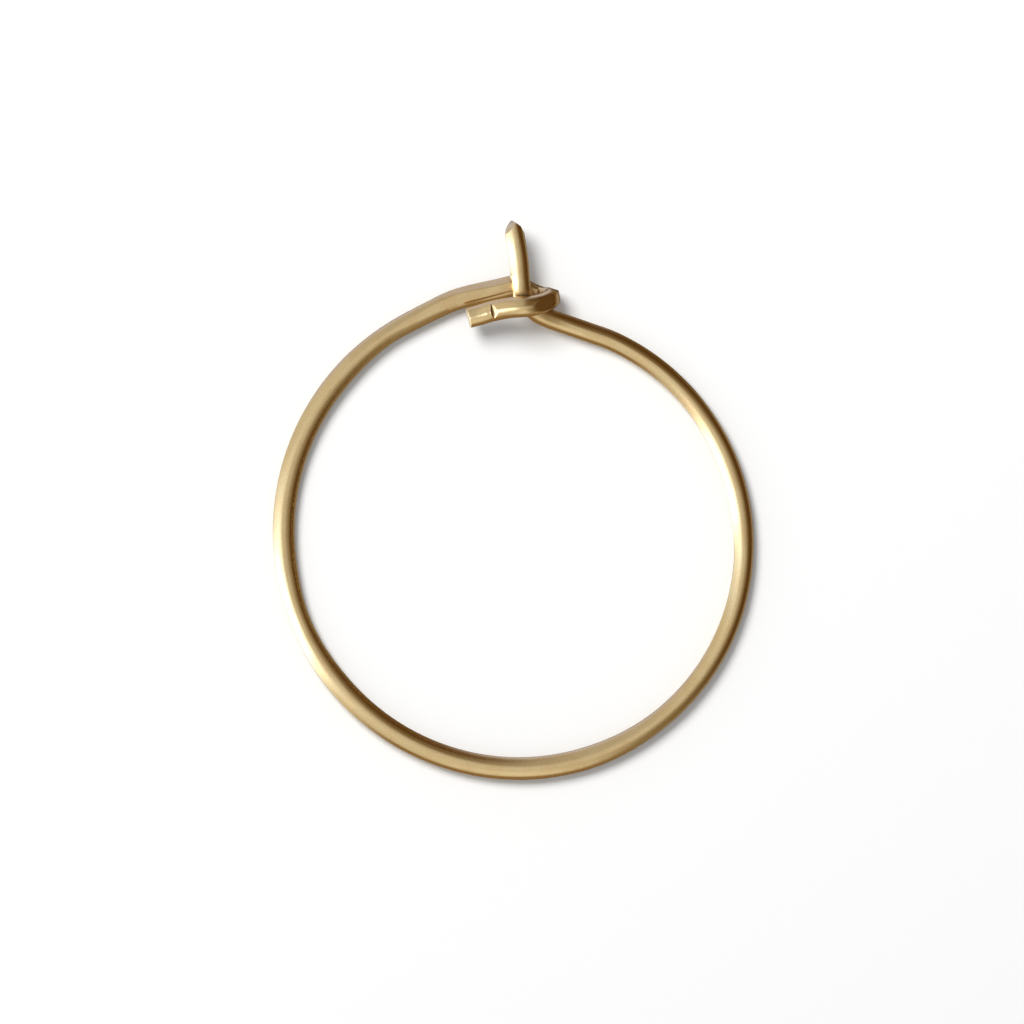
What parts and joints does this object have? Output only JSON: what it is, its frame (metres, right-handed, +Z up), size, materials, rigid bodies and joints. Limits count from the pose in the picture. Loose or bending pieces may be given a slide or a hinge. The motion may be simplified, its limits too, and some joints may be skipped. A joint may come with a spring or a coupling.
{
  "type": "wire hoop earring",
  "caption": "Open round hoop of gold-coloured wire: one end folded over as an eye, the other turned up through it as a straight ear post with a chisel tip.",
  "frame": {"origin": "on the floor that the hoop lies on, under the middle of its bounding box", "axes": "+Z up, square to the hoop's plane; +Y across the hoop from its bottom to the ear post, which it follows; +X to the right as seen from above"},
  "size_m": [0.02, 0.0234, 0.0024],
  "materials": {
    "gold_wire": "satin gold, with fine drawing lines along the wire"
  },
  "bodies": {
    "root": {"hoop_wire": "gold_wire"}
  },
  "joints": []
}
